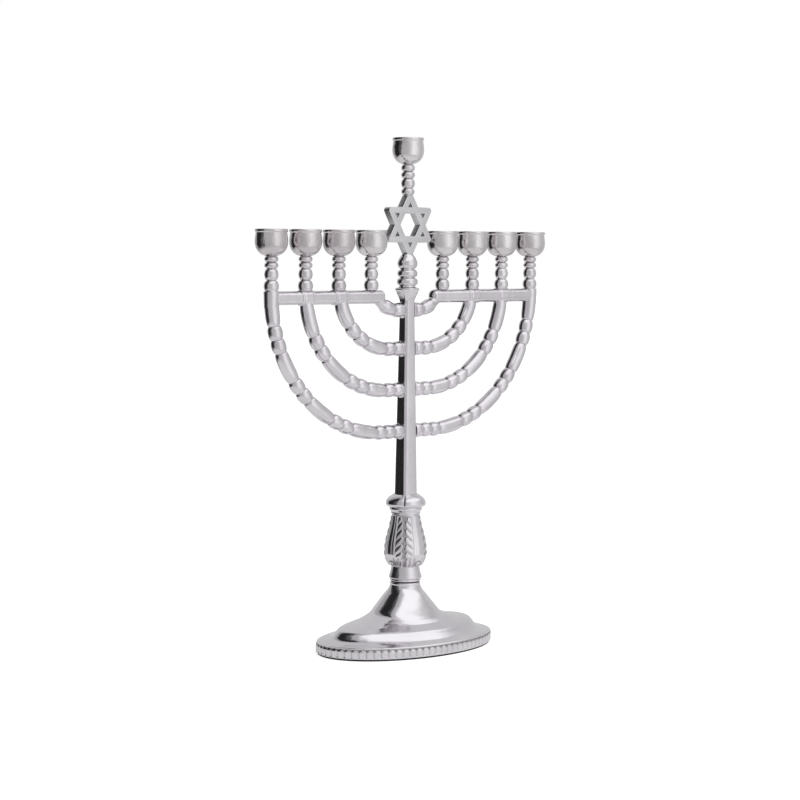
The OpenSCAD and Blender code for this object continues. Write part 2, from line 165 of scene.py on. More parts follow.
def bead_stations(beads, low, high, per_bead=20, longest=0.6):
    """Positions from low to high, dense at each bead's ends and no further apart than longest."""
    marks = {round(float(low), 4), round(float(high), 4)}
    for centre, half, *_ in beads:
        for a in np.linspace(0, math.pi, per_bead):
            marks.add(round(float(centre - half * math.cos(a)), 4))
    marks = sorted(m for m in marks if low <= m <= high)
    out = [marks[0]]
    for m in marks[1:]:
        step = m - out[-1]
        if step < 0.02 and m != marks[-1]:
            continue
        cuts = max(1, math.ceil(step / longest))
        out += [out[-1] + step * (k + 1) / cuts for k in range(cuts)] if cuts > 1 else [m]
    return np.array(out)


# ---- foot ----------------------------------------------------------------------------------------

FLUTES = 72              # upright reeds round the foot's edge
POINTS_PER_FLUTE = 12
FLUTE_DEPTH = 0.6        # how deep the notches between the reeds are cut
BAND_TOP = 6.5           # where the reeds end in round tops
REED_TOP = 1.4           # height of a reed's round top
FOOT_WALL = 2.0

# The foot's dome, from the ledge over the band up to the neck: (height, half length, half depth, pinch).
# The pinch narrows the oval towards its two ends.
FOOT_DOME = [
    (7.9, 56, 35.2, 0.05), (8.7, 53, 33.2, 0.12), (9.8, 51.3, 31.6, 0.16), (11.6, 50, 29.8, 0.2),
    (13.2, 48.8, 28.4, 0.22), (14.2, 47.6, 27, 0.24), (15.1, 45.5, 25, 0.25), (15.9, 42, 23.2, 0.2),
    (16.6, 37, 21.8, 0.12), (17.5, 32, 20.8, 0.06), (18.6, 28, 19.8, 0), (19.7, 25, 19.1, 0),
    (21.4, 22, 18.1, 0), (24.5, 19, 16.8, 0), (27.2, 16.5, 15.3, 0), (30, 14, 13.6, 0),
    (31.9, 12.4, 12.2, 0), (33.6, 10.9, 10.8, 0), (35.3, 9.7, 9.7, 0), (36.9, 9.1, 9.1, 0)]


def foot_profile():
    """Rings of the foot from its lower edge up, (height, half length, half depth, pinch): the band, then the
    rest."""
    low, high = node_box("foot_shell")
    a, b, neck = high
    edge = [(low[2], a - 0.5, b - 0.5, 0), (low[2] + 0.35, a - 0.1, b - 0.1, 0), (low[2] + 0.9, a, b, 0)]
    wall = [(z, a, b, 0) for z in np.linspace(low[2] + 1.4, BAND_TOP - 0.3, 15)]
    ledge = [(BAND_TOP, a - 0.08, b - 0.08, 0), (BAND_TOP + 0.25, a - 0.3, b - 0.3, 0),
             (BAND_TOP + 0.42, a - 0.8, b - 0.75, 0), (BAND_TOP + 0.46, a - 1.3, b - 1.1, 0),
             (BAND_TOP + 0.7, a - 1.7, b - 1.4, 0), (BAND_TOP + 1.0, a - 2.3, b - 1.8, 0)]
    top = [(neck - 0.5, 9.03, 9.03, 0), (neck, 8.7, 8.7, 0)]
    band = curve_through(edge + wall, 2)
    return np.minimum(band, (neck, a, b, 0)), curve_through(ledge + FOOT_DOME + top, 5)


def oval_ring(turn, z, a, b, pinch=0.0):
    """A ring of points round an oval, at the angles in turn."""
    return np.stack([a * np.cos(turn), b * np.sin(turn) * (1 - pinch * np.cos(turn) ** 2),
                     np.full(len(turn), z)], 1)


def foot_shell():
    band, upper = foot_profile()
    low = band[0][0]
    a, b = band[-1][1:3]
    neck = upper[-1][0]
    sides = FLUTES * POINTS_PER_FLUTE
    # equal spacing along the oval's edge, so that the reeds are all the same width
    fine = np.linspace(0, 2 * math.pi, 4001)
    speed = np.hypot(a * np.sin(fine), b * np.cos(fine))
    arc = np.concatenate([[0], np.cumsum((speed[1:] + speed[:-1]) / 2)])
    turn = np.interp(np.arange(sides) / sides * arc[-1], arc, fine)
    # 0 in the middle of a reed, 1 in the notches beside it
    across = np.abs(np.arange(sides) / POINTS_PER_FLUTE % 1 * 2 - 1)
    rings, oxide_and_painted_shade = [], []
    for z, ra, rb, pinch in np.vstack([band, upper]):
        over = max(0, (z - BAND_TOP + REED_TOP + 0.2) / REED_TOP)
        hollow = 1 - np.sqrt(1 - np.minimum(np.hypot(across, over), 1) ** 2)
        fade = smooth_step(low + 0.2, low + 1.4, z) * (1 - smooth_step(BAND_TOP - 0.1, BAND_TOP + 0.4, z))
        cut = FLUTE_DEPTH * fade * hollow
        rings.append(oval_ring(turn, z, ra - cut, rb - cut, pinch))
        # painted darkening in the notches, strongest at their tops where the reeds' round tops shade them:
        # partly oxide, partly painted shade
        oxide_and_painted_shade.append(hollow * fade * (0.3 + 0.7 * smooth_step(BAND_TOP - 2, BAND_TOP - 0.6, z)))
    # the hollow inside: down the rod's hole, out under the neck, and down behind the dome
    inside = [(neck, 3.2, 3.2, 0), (neck - 5.9, 3.2, 3.2, 0), (neck - 6, 8.6, 8.6, 0)]
    inside += [(z - FOOT_WALL, ra - FOOT_WALL, rb - FOOT_WALL, pinch)
               for z, ra, rb, pinch in upper[::-10] if rb > 10.8]
    inside += [(low + 2, a - FOOT_WALL - 0.8, b - FOOT_WALL - 0.8, 0),
               (low, a - FOOT_WALL - 0.6, b - FOOT_WALL - 0.6, 0)]
    # the whole inside is painted darker (0.6): painted shade under the foot
    for ring in inside:
        rings.append(oval_ring(turn, *ring))
        oxide_and_painted_shade.append(np.full(sides, 0.6))
    obj = tube("foot_shell_visual", rings, closed=True, sharp_angle=50)
    paint(obj, np.concatenate(oxide_and_painted_shade))
    return obj


def paint(obj, values):
    """Stores how dark each point is painted, 0 to 1, for the material to darken: oxide in hollows, and
    painted shade in notches, seams and under the foot.
    """
    layer = obj.data.attributes.new("oxide_and_painted_shade", "FLOAT", "POINT")
    count = len(obj.data.vertices)
    layer.data.foreach_set("value", np.asarray(values, float)[:count].astype(np.float32))


def foot_pad():
    a, b, top = node_box("foot_pad")[1]
    t = angles(240)
    rows = [(0.0, a - 0.35, b - 0.35), (0.12, a - 0.1, b - 0.1), (0.4, a, b), (0.75, a, b),
            (top, a - 0.1, b - 0.1)]
    rings = [oval_ring(t, *row) for row in rows]
    return tube("foot_pad_visual", rings, sharp_angle=60)


# ---- column --------------------------------------------------------------------------------------

ROD_HOLE = 3.05          # hole for the tie rod through the column
STUD_HOLE = 1.3          # hole for the studs through the turned pieces


def neck_collar():
    low, high = node_z("neck_collar")
    lip = curve_through([(8.7, low), (9.1, low + 0.25), (9.15, low + 0.75), (8.9, low + 1.25),
                         (8.75, low + 1.5)], 5)
    cone = curve_through([(9.45, low + 1.65), (9.8, low + 2.1), (9.75, low + 2.7), (9.25, low + 4.3),
                          (8.72, low + 6.4), (8.35, high - 0.5), (8.25, high)], 6)
    return lathe("neck_collar_visual", list(lip) + list(cone), ROD_HOLE, sides=128)


KNOP_LEAVES = 4          # large leaves, their midribs on the X and Y axes
KNOP_LOBES = 7           # lobes along each edge of a leaf
KNOP_PITS = 6            # small round pits up each seam between two leaves


def leaf_body(z, low, top):
    """Radius of the knop's smooth body: a short round below its belly, a long slope above."""
    belly = low + 8
    if z < belly:
        return 8.5 + 3.6 * math.sin(math.pi / 2 * (z - low) / (belly - low)) ** 0.75
    rise = min(1, (z - belly) / (top - belly)) ** 1.15
    return 8.3 + 3.8 * (1 + math.cos(math.pi * rise)) / 2


def leaf_relief(across, z, low, top):
    """Relief of the leaves along a ring, and how dark to paint it: oxide and painted shade between the
    leaves, in the veins, round the buds and in the pits; across is -1 to 1 from seam to seam.
    """
    up = (z - low) / (top - low)
    side = np.abs(across)
    # veins slope up from the midrib to the lobes along the leaf's edge, and fan out at its foot
    lobe = np.abs(np.sin(math.pi * (up * KNOP_LOBES - side * 1.5))) ** 0.7
    spread = np.abs(np.sin(math.pi * side * 3.2)) ** 0.7
    fan = 1 - smooth_step(0.14, 0.24, up)
    edge = 0.82 + 0.12 * lobe - 0.25 * smooth_step(0.86, 1.0, up)
    blade = smooth_step(0, 0.06, edge - side)
    vein = (1 - lobe) * smooth_step(0.40, 0.54, side) * (1 - fan)
    vein = (vein + (1 - spread) * smooth_step(0.12, 0.25, side) * fan) * blade
    curl = smooth_step(0.45, 0.9, side) * blade
    midrib = np.cos(math.pi / 2 * np.clip(side / 0.46, 0, 1)) ** 1.5
    folds = np.exp(-((side - 0.2) / 0.045) ** 2) + np.exp(-((side - 0.42) / 0.05) ** 2)
    # a small round bud at the foot of each midrib, and pits up the seams
    away = np.hypot(across * 8, z - low - 2.3)
    bud = np.sqrt(np.clip(1 - (away / 1.3) ** 2, 0, 1))
    moat = np.exp(-((away - 1.6) / 0.35) ** 2)
    pit_at = (up * KNOP_PITS + 0.2) % 1
    pit = np.exp(-((side - 1) / 0.045) ** 2) * math.exp(-((pit_at - 0.5) / 0.13) ** 2)
    relief = 0.42 * blade + 0.3 * curl + 0.4 * midrib - 0.14 * folds - 0.42 * vein
    relief = relief * (1 - bud) + 1.1 * bud - 0.35 * moat - 0.35 * pit
    # deep weights the painted darkening: oxide in the hollows, and painted shade there
    deep = 0.55 * (1 - blade) + 0.75 * vein + 0.8 * moat + 0.9 * pit
    return relief, np.clip(deep, 0, 1)


def leaf_knop():
    low, high = node_z("leaf_knop")
    top = high - 4.4     # the leaves' tips; the fillet ring is above them
    sides = 480
    t = angles(sides)
    across = (t / (2 * math.pi) * KNOP_LEAVES + 0.5) % 1 * 2 - 1
    rings, oxide_and_painted_shade = [], []
    for z in np.linspace(low, top + 0.4, 230):
        relief, deep = leaf_relief(across, z, low, top)
        fade = smooth_step(low, low + 0.9, z) * (1 - smooth_step(top - 0.5, top, z))
        radius = leaf_body(z, low, top) + relief * fade
        rings.append(np.stack([radius * np.cos(t), radius * np.sin(t), np.full(sides, z)], 1))
        oxide_and_painted_shade.append(deep * fade)
    fillet = curve_through([(8.5, top + 0.5), (8.8, top + 0.8), (8.75, top + 1.6), (9.1, top + 2.2),
                            (9.6, top + 3), (9.65, top + 3.7), (9.4, high)], 6)
    for r, z in list(fillet) + [(ROD_HOLE, high), (ROD_HOLE, low)]:
        rings.append(np.stack([r * np.cos(t), r * np.sin(t), np.full(sides, z)], 1))
        oxide_and_painted_shade.append(np.zeros(sides))
    obj = tube("leaf_knop_visual", rings, closed=True, sharp_angle=55)
    paint(obj, np.concatenate(oxide_and_painted_shade))
    return obj


def cushion_ring():
    low, high = node_z("cushion_ring")
    widest = node_box("cushion_ring")[1][0]
    outline = curve_through([(9.3, low), (10.3, low + 0.2), (11.4, low + 0.75), (widest - 0.05, low + 1.8),
                             (widest - 0.1, low + 2.8), (11.5, low + 4.2), (10.4, low + 5.5),
                             (9.0, low + 6.6), (7.8, high - 0.25), (7.4, high)], 7)
    sides = 288
    t = angles(sides)
    corner = np.abs(((t / (2 * math.pi) * 4 + 0.5) % 1 * 2 - 1))   # 0 on the faces, 1 at the corners
    mitre = np.exp(-((corner - 1) / 0.045) ** 2)
    swell = np.cos(corner * math.pi / 2) ** 0.5
    rings, oxide_and_painted_shade = [], []
    for r, z in outline:
        part = smooth_step(low + 0.4, low + 2.2, z) * (1 - smooth_step(high - 0.8, high, z))
        radius = r - part * (0.7 * mitre + 0.22 * (1 - swell))
        rings.append(np.stack([radius * np.cos(t), radius * np.sin(t), np.full(sides, z)], 1))
        # the mitred seams are painted darker: oxide in them, and painted shade
        oxide_and_painted_shade.append(mitre * part)
    for r, z in ((ROD_HOLE, high), (ROD_HOLE, low)):
        rings.append(np.stack([r * np.cos(t), r * np.sin(t), np.full(sides, z)], 1))
        oxide_and_painted_shade.append(np.zeros(sides))
    obj = tube("cushion_ring_visual", rings, closed=True, sharp_angle=50)
    paint(obj, np.concatenate(oxide_and_painted_shade))
    return obj


STEM_LOW, STEM_HIGH = 5.2, 3.6      # half width of the stem at its lower end and under its cap
STEM_CHAMFER = 1.25
CAP_START = 8.6                     # how far below the stem's top the cap starts to flare
EDGE_ROUND = 0.22                   # rounding of the stem's edges


def square_ring(half, chamfer, z, softness=EDGE_ROUND):
    """A square with chamfered corners whose eight edges are slightly rounded."""
    flat = half - chamfer
    corners = [(half, -flat), (half, flat), (flat, half), (-flat, half),
               (-half, flat), (-half, -flat), (-flat, -half), (flat, -half)]
    points = []
    for k in range(8):
        here, before, after = (Vector(corners[k]), Vector(corners[k - 1]), Vector(corners[(k + 1) % 8]))
        back = (before - here).normalized() * softness
        ahead = (after - here).normalized() * softness
        for m in (0.0, 0.5, 1.0):
            bend = (1 - m) ** 2 * back + m ** 2 * ahead
            points.append((here.x + bend.x, here.y + bend.y, z))
    return points


def stem():
    low, high = node_z("stem")
    cap = node_box("stem")[1][0]
    start = high - CAP_START
    rows = [(z, STEM_LOW + (STEM_HIGH - STEM_LOW) * (z - low) / (start - low), STEM_CHAMFER)
            for z in np.linspace(low, start, 16)]
    flare = curve_through([
        (start, STEM_HIGH, STEM_CHAMFER), (start + 1.4, STEM_HIGH + 0.25, STEM_CHAMFER + 0.05),
        (start + 3, STEM_HIGH + 0.85, STEM_CHAMFER + 0.35),
        (start + 4.8, STEM_HIGH + 1.7, STEM_CHAMFER + 0.9), (start + 6.2, cap - 0.7, STEM_CHAMFER + 1.7),
        (high - 1.5, cap - 0.12, STEM_CHAMFER + 2.2),
        (high - 1.1, cap, STEM_CHAMFER + 2.3)], 5)
    lip = curve_through([
        (high - 0.85, cap - 0.05, STEM_CHAMFER + 2.3), (high - 0.4, cap - 0.5, STEM_CHAMFER + 2.2),
        (high - 0.1, cap - 1.3, STEM_CHAMFER + 2.0), (high, cap - 1.9, STEM_CHAMFER + 1.8)], 4)
    rings = [square_ring(h, c, z, EDGE_ROUND + 0.5 * smooth_step(start, high - 2, z))
             for z, h, c in rows[:-1] + list(flare) + list(lip)]
    return tube("stem_visual", rings, sharp_angle=30)


# ---- branches ------------------------------------------------------------------------------------

BEND_R = {1: 20.0, 2: 38.0, 3: 60.0, 4: 81.0}     # radius of each branch's bend
ROOT_COUNT = {1: 1, 2: 2, 3: 2, 4: 3}             # single beads next to the stem
PAIRS = {1: [], 2: [40.4], 3: [39.4, 74.6], 4: [51.2, 86.9, 121.1]}   # middles of the pairs of beads
ROOT_BEAD, ROOT_PITCH, PAIR_PITCH = 7.6, 6.8, 7.8
BEAD_R, BEAD_NECK = 4.3, 2.95
BARREL_R = 4.2
BRANCH_SIDES = 40
COLLARED = (2, 3)         # branches that end in a collar on the rail's axis
COLLAR_R, COLLAR_HALF = 4.5, 4.7
FLANGE_R = 4.85           # thin round flange where a branch meets the stem
HIDDEN_R = 3.2            # radius to which a branch slims inside the piece that it runs into
UPRIGHT_R = 4.3           # the outermost branch's upright, at the rail


def rail_height():
    low, high = node_z("left_rail")
    return (low + high) / 2


def branch_height(side, place):
    return node_z(f"{side}_branch_{place}")[0] + BEAD_R * 0.985


def stem_half(z):
    low, high = node_z("stem")
    return STEM_LOW + (STEM_HIGH - STEM_LOW) * (z - low) / (high - CAP_START - low)


def branch_path(place, height, out, s):
    """Points (out, up) and tangents (out, up) at distances s along a branch's centre line."""
    bend = BEND_R[place]
    run = out - bend
    a = np.clip((s - run) / bend, 0, None)
    point = np.stack([np.minimum(s, run) + bend * np.sin(a), height + bend * (1 - np.cos(a))], 1)
    return point, np.stack([np.cos(a), np.sin(a)], 1)


def branch_beads(place, length):
    roots = ROOT_COUNT[place]
    beads = [(ROOT_BEAD + ROOT_PITCH * k, ROOT_PITCH / 2, BEAD_R, 2) for k in range(roots)]
    ends = [ROOT_BEAD + ROOT_PITCH * (roots - 0.5)]
    for c in PAIRS[place]:
        beads += [(c + k * PAIR_PITCH / 2, PAIR_PITCH / 2, BEAD_R, 2) for k in (-1, 1)]
        ends += [c - PAIR_PITCH, c + PAIR_PITCH]
    ends.append(length - 2.6 if place in COLLARED else length + 6)
    beads += [((a + b) / 2, (b - a) / 2, BARREL_R, 4) for a, b in zip(ends[::2], ends[1::2])]
    return beads


def branch(side, place):
    """A beaded, bent tube from the stem to the rail; the outermost one runs into its upright, made apart,
    which carries a spindle.
    """
    sign = -1 if side == "left" else 1
    out = abs(node_x(f"{side}_cup_{place}"))
    rail_z, height = rail_height(), branch_height(side, place)
    length = out - BEND_R[place] + BEND_R[place] * math.acos(1 - (rail_z - height) / BEND_R[place])
    start = stem_half(height) + 0.05
    beads = branch_beads(place, length)
    s = bead_stations(beads, start, length)
    radius = bead_radius(beads, s, BEAD_NECK)
    flange = FLANGE_R * np.sqrt(np.clip(1 - ((s - start - 0.45) / 0.85) ** 2, 0, 1))
    radius = np.maximum(radius, flange)
    # the innermost branch runs into the rail, the outermost into its upright
    hidden = {1: (length - 9, length - 5), 4: (length - 1.2, length)}
    if place in hidden:
        slim = smooth_step(*hidden[place], s)
        radius = radius * (1 - slim) + HIDDEN_R * slim
    point, along = branch_path(place, height, out, s)
    t = angles(BRANCH_SIDES)
    rings = []
    for (px, pz), (ax, az), r in zip(point, along, radius):
        q = r * np.cos(t)
        rings.append(np.stack([sign * (px - q * az), r * np.sin(t), pz + q * ax], 1))
    return tube(f"{side}_branch_{place}_visual", rings)


def upright(side):
    """The top of the outermost branch: it goes straight up past the rail's end and carries a spindle."""
    rail_z = rail_height()
    rail_r = node_z("left_rail")[1] - rail_z
    high = rail_z + rail_r
    outline = curve_through([(UPRIGHT_R - 0.15, rail_z - rail_r - 1.5), (UPRIGHT_R - 0.1, rail_z - rail_r),
                             (UPRIGHT_R, rail_z), (UPRIGHT_R + 0.05, high - 0.6),
                             (UPRIGHT_R - 0.05, high - 0.15), (UPRIGHT_R - 0.2, high)], 5)
    return lathe(f"{side}_upright", outline, x=node_x(f"{side}_cup_4"), sides=64)


def along_rail(name, sign, outline):
    """A turned piece on a rail's axis; outline is (distance from the stem's axis, radius), and a distance may
    differ from corner to corner."""
    t = angles(64)
    rings = [np.stack([np.broadcast_to(sign * x, t.shape), r * np.sin(t), rail_height() + r * np.cos(t)], 1)
             for x, r in outline]
    return tube(name, rings)


def collar(side, place):
    """The round collar that ends a branch on the rail's axis, with a fine groove near each end."""
    sign = -1 if side == "left" else 1
    middle = abs(node_x(f"{side}_cup_{place}"))
    half = [(0, COLLAR_R), (2.8, COLLAR_R), (3.2, COLLAR_R - 0.45), (3.6, COLLAR_R - 0.05),
            (4.3, COLLAR_R - 0.1), (COLLAR_HALF, COLLAR_R - 0.5), (COLLAR_HALF, COLLAR_R - 0.95)]
    outline = [(-x, r) for x, r in half[:0:-1]] + half
    rounded = curve_through(outline, 4)
    return along_rail(f"{side}_collar_{place}", sign, [(middle + x, r) for x, r in rounded])


def rail(side):
    """Three bars between the branches' ends; the innermost has a domed end, the outermost a coped one."""
    sign = -1 if side == "left" else 1
    low, high = node_z("left_rail")
    rail_r = (high - low) / 2
    inner = min(abs(node_box(f"{side}_rail")[0][0]), abs(node_box(f"{side}_rail")[1][0]))
    posts = [abs(node_x(f"{side}_cup_{p}")) for p in PLACES]
    reach = COLLAR_HALF - 0.4
    coped = posts[3] + 0.2 - np.sqrt(UPRIGHT_R ** 2 - (rail_r * np.sin(angles(64))) ** 2)
    dome = [(inner + 2.6 * (1 - math.cos(a)), rail_r * max(0.02, math.sin(a)))
            for a in np.linspace(0, math.pi / 2, 14)]
    bars = [dome + [(posts[1] - reach, rail_r)],
            [(posts[1] + reach, rail_r), (posts[2] - reach, rail_r)],
            [(posts[2] + reach, rail_r), (coped, rail_r)]]
    pieces = [along_rail(f"{side}_rail_bar_{k + 1}", sign, bar) for k, bar in enumerate(bars)]
    return join(f"{side}_rail_visual", pieces)


def join(name, objects):
    """One mesh object made of several."""
    bpy.ops.object.select_all(action="DESELECT")
    for obj in objects:
        obj.select_set(True)
    bpy.context.view_layer.objects.active = objects[0]
    bpy.ops.object.join()
    objects[0].name = name
    objects[0].data.name = name
    return objects[0]


# ---- spindles and cups ---------------------------------------------------------------------------

SPINDLE_NECK = 2.35      # radius between two beads


def spindle(node, beads, name):
    """A turned spindle with a row of beads and a hole for its stud."""
    low, high = node_z(node)
    placed = [(high - c, half, r, full) for c, half, r, full in beads]
    s = bead_stations(placed, low, high, per_bead=26, longest=0.4)
    outline = list(zip(bead_radius(placed, s, SPINDLE_NECK), s))
    return lathe(name, outline, STUD_HOLE, x=node_x(node), sides=72)


# beads from the top down: (distance below the top, half length, radius, fullness)
SIDE_BEADS = [(1.75, 1.75, 3.95, 1.7), (5.3, 1.75, 3.95, 1.7), (10.35, 3.2, 4.0, 1.7),
              (16.9, 3.3, 4.25, 1.8)]
CENTRE_BEADS = [(2.25, 2.05, 4.05, 1.7), (6.4, 2.05, 4.05, 1.7), (11.3, 2.85, 4.05, 1.7),
                (16.1, 1.95, 3.9, 1.7)]

CUP_FOOT_R = 3.8
BELLY = 8.5              # height of a cup's widest ring above its underside
BOWL_POWER = 2.3         # 2 would be a round bowl; more is squarer
CUP_FLOOR = 3.0          # floor of the candle socket
STUD_DEPTH = 2.4         # how far a stud goes up into a cup
SOCKET_R, SOCKET_DEPTH = 5.4, 7.0


def cup(node, name):
    """A hollow candle cup: round bowl, rolled rim, dished inside with a straight socket."""
    low_corner, high_corner = node_box(node)
    low, high = low_corner[2], high_corner[2]
    cup_r = (high_corner[0] - low_corner[0]) / 2
    x = (high_corner[0] + low_corner[0]) / 2
    t = np.linspace(0.955, 0, 36)
    bowl = [(cup_r * (1 - v ** BOWL_POWER) ** (1 / BOWL_POWER), low + BELLY - v * (BELLY + 0.4)) for v in t]
    bowl = [(r, z) for r, z in bowl if z > low + 0.25]
    wall = curve_through([bowl[-1], (cup_r - 0.14, high - 4.8), (cup_r - 0.42, high - 2.9),
                          (cup_r - 0.55, high - 1.95)], 8)
    rim = curve_through([(cup_r - 0.3, high - 1.6), (cup_r - 0.06, high - 1.3), (cup_r - 0.04, high - 0.6),
                         (cup_r - 0.2, high - 0.15), (cup_r - 0.5, high), (cup_r - 0.85, high - 0.1),
                         (cup_r - 1.15, high - 0.6)], 6)
    socket_top = low + CUP_FLOOR + SOCKET_DEPTH
    dish = curve_through([(cup_r - 1.45, high - 1.6), (cup_r - 1.9, high - 2.8),
                          (SOCKET_R + 1.1, socket_top + 1.0), (SOCKET_R + 0.35, socket_top + 0.25),
                          (SOCKET_R, socket_top - 0.2)], 6)
    socket = [(SOCKET_R, low + CUP_FLOOR + 0.6), (SOCKET_R - 0.15, low + CUP_FLOOR + 0.2),
              (SOCKET_R - 0.6, low + CUP_FLOOR)]
    outline = ([(STUD_HOLE, low), (CUP_FOOT_R - 0.3, low), (CUP_FOOT_R, low + 0.12)] + bowl + list(wall[1:])
               + list(rim) + list(dish) + socket + [(0.002, low + CUP_FLOOR)])
    outline += [(0.002, low + STUD_DEPTH), (STUD_HOLE, low + STUD_DEPTH)]
    sides = 96
    a = angles(sides)
    rings = [np.stack([x + r * np.cos(a), r * np.sin(a), np.full(sides, min(z, high))], 1)
             for r, z in outline]
    return tube(name, rings, closed=True)


# ---- finial and star -----------------------------------------------------------------------------

def ring_edge(radius, swell, middle):
    """The round edge of one of the finial's rings."""
    return [(radius + swell * math.cos(a), middle + 1.95 * math.sin(a)) for a in np.linspace(-1.5, 1.5, 20)]


def finial():
    """Two rings and a teardrop, with fine grooves between them."""
    low, high = node_z("finial")
    neck = curve_through([(5.3, low), (4.85, low + 0.35), (4.75, low + 1.0), (4.9, low + 1.3)], 4)
    ring_low = ring_edge(4.9, 1.25, low + 3.25)
    ring_high = ring_edge(4.7, 1.2, low + 8.1)
    groove = curve_through([(4.7, low + 5.35), (4.4, low + 5.7), (4.6, low + 6.05)], 3)
    groove_high = curve_through([(4.6, low + 10.2), (4.25, low + 10.6), (4.45, low + 11)], 3)
    drop = curve_through([(4.7, low + 11.2), (5.35, low + 12), (5.8, low + 13.2), (5.85, low + 14.3),
                          (5.45, low + 15.8), (4.6, low + 17.3), (3.8, low + 18.4), (3.35, high)], 7)
    outline = list(neck) + ring_low + list(groove) + ring_high + list(groove_high) + list(drop)
    return lathe("finial_visual", outline, STUD_HOLE, sides=96)


STAR_R = 20.7            # from the star's middle to its points, were they sharp
STAR_BAR = 3.75          # width of the bars
STAR_BLUNT = 18.6        # where the points are cut off
STAR_EDGE = 0.28         # rounding of the star's edges


def blunt_star(radius, blunt, flat):
    """Outline of a six-pointed star whose points are cut off at distance blunt, the upper and lower
    ones at flat."""
    outline = []
    for k in range(6):
        tip = math.radians(90 + 60 * k)
        cut = flat if k in (0, 3) else blunt
        reach = (radius - cut) * math.tan(math.radians(30))
        direction = Vector((math.cos(tip), math.sin(tip)))
        across = Vector((-direction.y, direction.x))
        soft = 0.0 if k in (0, 3) else 0.55
        if soft:
            for m in (-1, -0.62, 0, 0.62, 1):
                depth = cut + soft * (1 - abs(m) ** 2.2)
                outline.append(direction * (depth - soft * 0.55) + across * reach * m)
        else:
            outline += [direction * cut - across * reach, direction * cut + across * reach]
        notch = tip + math.radians(30)
        inner = radius / math.sqrt(3)
        outline.append(Vector((math.cos(notch), math.sin(notch))) * inner)
    return outline


def star():
    """The pierced star, a flat casting with softened edges."""
    low_corner, high_corner = node_box("star")
    centre = (low_corner[2] + high_corner[2]) / 2
    flat = (high_corner[2] - low_corner[2]) / 2
    thick = high_corner[1] - low_corner[1]
    outlines = [blunt_star(STAR_R, STAR_BLUNT - 0.3, flat)]
    outlines.append([Vector((math.cos(a), math.sin(a))) * (STAR_R / 2 - STAR_BAR) / math.cos(math.pi / 6)
                     for a in [math.radians(60 * k) for k in range(6)]])
    tip, base = STAR_R - 2 * STAR_BAR, STAR_R / 2
    half = (tip - base) * math.tan(math.radians(30))
    for k in range(6):
        turn = Matrix.Rotation(math.radians(30 + 60 * k), 2)
        outlines.append([turn @ Vector(p) for p in ((tip, 0), (base, half), (base, -half))])
    curve = bpy.data.curves.new("star_outline", "CURVE")
    curve.dimensions = "2D"
    curve.fill_mode = "BOTH"
    curve.extrude = (thick / 2 - STAR_EDGE) * MM
    curve.bevel_depth = STAR_EDGE * MM
    curve.bevel_resolution = 3
    curve.offset = -STAR_EDGE * MM
    for outline in outlines:
        spline = curve.splines.new("POLY")
        spline.points.add(len(outline) - 1)
        spline.use_cyclic_u = True
        for point, v in zip(spline.points, outline):
            point.co = (v.x * MM, v.y * MM, 0, 1)
    maker = bpy.data.objects.new("star_maker", curve)
    bpy.context.scene.collection.objects.link(maker)
    maker.matrix_world = Matrix.Translation((0, 0, centre * MM)) @ Matrix.Rotation(math.pi / 2, 4, "X")
    bpy.context.view_layer.update()
    shaped = maker.evaluated_get(bpy.context.evaluated_depsgraph_get())
    mesh = bpy.data.meshes.new_from_object(shaped)
    mesh.transform(maker.matrix_world)
    mesh.name = "star_visual"
    obj = bpy.data.objects.new("star_visual", mesh)
    bpy.context.scene.collection.objects.link(obj)
    bpy.data.objects.remove(maker)
    tidy = bmesh.new()
    tidy.from_mesh(mesh)
    bmesh.ops.remove_doubles(tidy, verts=tidy.verts, dist=2e-6)
    bmesh.ops.recalc_face_normals(tidy, faces=tidy.faces)
    tidy.to_mesh(mesh)
    tidy.free()
    mesh.materials.clear()
    mesh.polygons.foreach_set("use_smooth", [True] * len(mesh.polygons))
    mesh.set_sharp_from_angle(angle=math.radians(35))
    return obj


# ---- materials -----------------------------------------------------------------------------------

# noise scales, in waves per metre or so: colour drift, smears, specks, soft waves, grain and turning lines
DRIFT, SMEAR, SPECKS = 45, 220, 600
WAVES, RIPPLES, GRAIN, TURNING = 80, 240, 2600, 5200


def new_material(name):
    material = bpy.data.materials.new(name)
    material.use_nodes = True
    tree = material.node_tree
    return material, tree, tree.nodes["Principled BSDF"]


def noise(tree, coords, scale, detail=3, roughness=0.5):
    node = tree.nodes.new("ShaderNodeTexNoise")
    node.inputs["Scale"].default_value = scale
    node.inputs["Detail"].default_value = detail
    node.inputs["Roughness"].default_value = roughness
    tree.links.new(coords, node.inputs["Vector"])
    return node.outputs["Fac"]


def remap(tree, value, from_low, from_high, low, high):
    node = tree.nodes.new("ShaderNodeMapRange")
    for socket, number in zip(("From Min", "From Max", "To Min", "To Max"), (from_low, from_high, low, high)):
        node.inputs[socket].default_value = number
    tree.links.new(value, node.inputs["Value"])
    return node.outputs["Result"]


def mix_colour(tree, factor, first, second):
    """Mixes two colours; each is a colour or another node's output."""
    node = tree.nodes.new("ShaderNodeMix")
    node.data_type = "RGBA"
    tree.links.new(factor, node.inputs["Factor"])
    for socket, value in ((node.inputs[6], first), (node.inputs[7], second)):
        if isinstance(value, tuple):
            socket.default_value = (*value, 1)
        else:
            tree.links.new(value, socket)
    return node.outputs[2]


def bump(tree, height, strength, distance, normal=None):
    node = tree.nodes.new("ShaderNodeBump")
    node.inputs["Strength"].default_value = strength
    node.inputs["Distance"].default_value = distance
    tree.links.new(height, node.inputs["Height"])
    if normal is not None:
        tree.links.new(normal, node.inputs["Normal"])
    return node.outputs["Normal"]


def stretched(tree, coords, scale):
    node = tree.nodes.new("ShaderNodeMapping")
    node.inputs["Scale"].default_value = scale
    tree.links.new(coords, node.inputs["Vector"])
    return node.outputs["Vector"]


